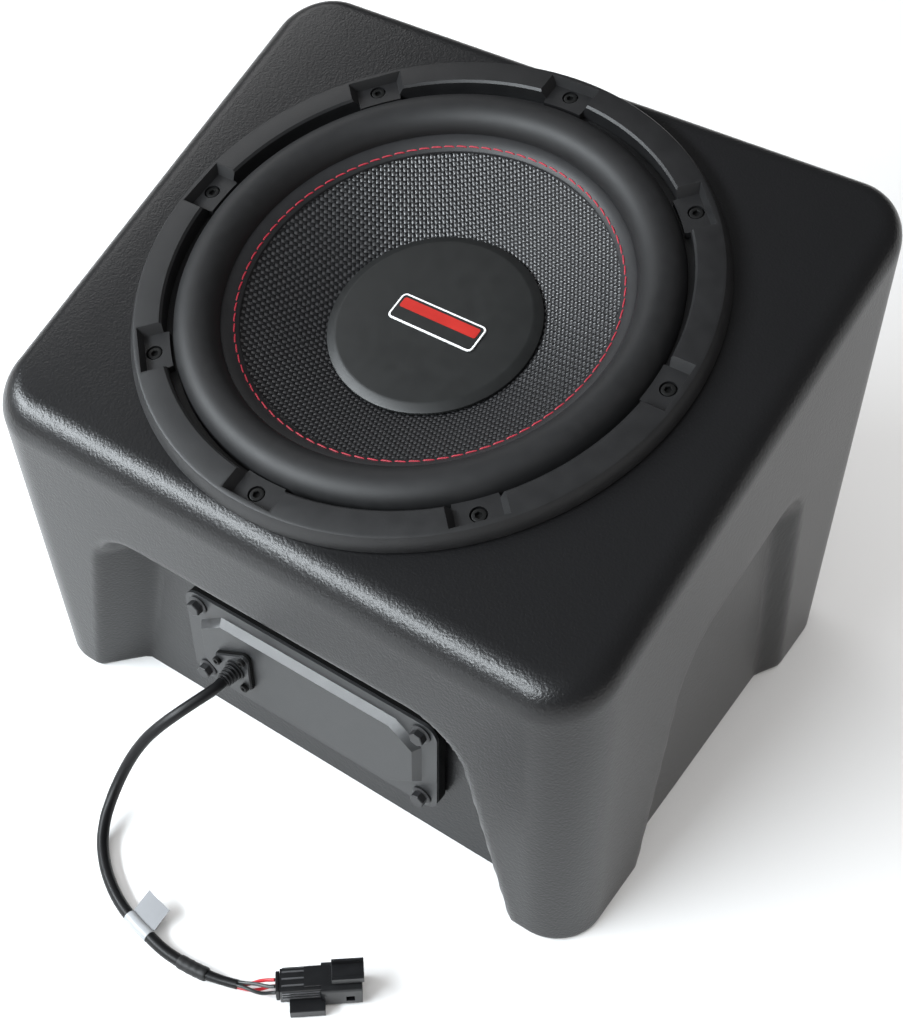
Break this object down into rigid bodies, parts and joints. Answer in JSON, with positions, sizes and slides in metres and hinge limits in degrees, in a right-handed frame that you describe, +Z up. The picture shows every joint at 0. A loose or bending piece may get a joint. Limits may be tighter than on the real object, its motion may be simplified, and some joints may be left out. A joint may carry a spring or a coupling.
{
  "type": "powered car subwoofer",
  "caption": "Wedge-shaped moulded box with a large bass driver on its sloping top, a built-in amplifier behind a cover plate at the front and a short lead with a plug.",
  "frame": {"origin": "the middle of the box's flat bottom, on the floor it stands on, measured without the lead", "axes": "+Z up, -Y towards the amplifier's side, +X to the right when facing the amplifier; the top slopes down towards -Y"},
  "size_m": [0.4149, 0.449, 0.3173],
  "materials": {
    "moulded_shell": "fine leather grain, satin",
    "trim_ring": "fine matte texture",
    "rubber": "satin",
    "woven_cone": "open basket weave over a dark cone",
    "dust_cap": "matte",
    "badge": "satin, no lettering",
    "spider_cloth": "resin-stiffened cloth",
    "foam": "matte foam",
    "coated_steel": "satin powder coat",
    "fastener": "black oxide",
    "bright_metal": "satin",
    "ferrite": "matte",
    "cast_metal": "satin black",
    "copper": "enamelled wire",
    "circuit_board": "solder mask",
    "sleeve": "shrink sleeve",
    "cable_jacket": "satin",
    "label": "silver-white film, blank",
    "red_wire": "satin insulation",
    "black_wire": "satin insulation",
    "nylon": "semi-gloss nylon"
  },
  "bodies": {
    "enclosure": {"amp_bolt_1": "fastener", "amp_bolt_2": "fastener", "amp_bolt_3": "fastener", "amp_bolt_4": "fastener", "amp_capacitor_1": "sleeve", "amp_capacitor_2": "sleeve", "amp_chassis": "cast_metal", "amp_circuit_board": "circuit_board", "amp_cover_plate": "coated_steel", "amp_gasket": "foam", "amp_inductor": "copper", "cable": "cable_jacket", "cable_label": "label", "connector_housing": "nylon", "connector_rail": "nylon", "connector_rear_seal": "rubber", "contact_pin_1": "bright_metal", "contact_pin_2": "bright_metal", "contact_pin_3": "bright_metal", "contact_pin_4": "bright_metal", "driver_basket": "cast_metal", "driver_gasket": "foam", "driver_screw_1": "fastener", "driver_screw_2": "fastener", "driver_screw_3": "fastener", "driver_screw_4": "fastener", "driver_screw_5": "fastener", "driver_screw_6": "fastener", "driver_screw_7": "fastener", "driver_screw_8": "fastener", "enclosure_shell": "moulded_shell", "gland_boot": "rubber", "gland_flange": "coated_steel", "gland_gasket": "foam", "gland_screw_1": "fastener", "gland_screw_2": "fastener", "gland_screw_3": "fastener", "heat_shrink": "cable_jacket", "magnet": "ferrite", "magnet_boot": "rubber", "motor_back_plate": "bright_metal", "motor_top_plate": "bright_metal", "sheath_tail": "cable_jacket", "speaker_wire_pair": "red_wire", "spider": "spider_cloth", "surround": "rubber", "terminal_negative": "copper", "terminal_positive": "copper", "tinsel_lead_negative": "copper", "tinsel_lead_positive": "copper", "trim_ring": "trim_ring", "wire_1": "red_wire", "wire_2": "black_wire", "wire_3": "red_wire", "wire_4": "black_wire"},
    "cone_assembly": {"cone": "woven_cone", "dust_cap": "dust_cap", "dust_cap_badge": "badge", "voice_coil_former": "bright_metal", "voice_coil": "copper"}
  },
  "joints": [
    {"name": "cone_travel", "type": "slide", "parent": "enclosure", "child": "cone_assembly", "axis": [0, -0.2944, 0.9557], "range_m": [-0.012, 0.012], "stiffness_N_per_m": 5000, "deforming": ["surround", "spider", "tinsel_lead_positive", "tinsel_lead_negative"]}
  ]
}
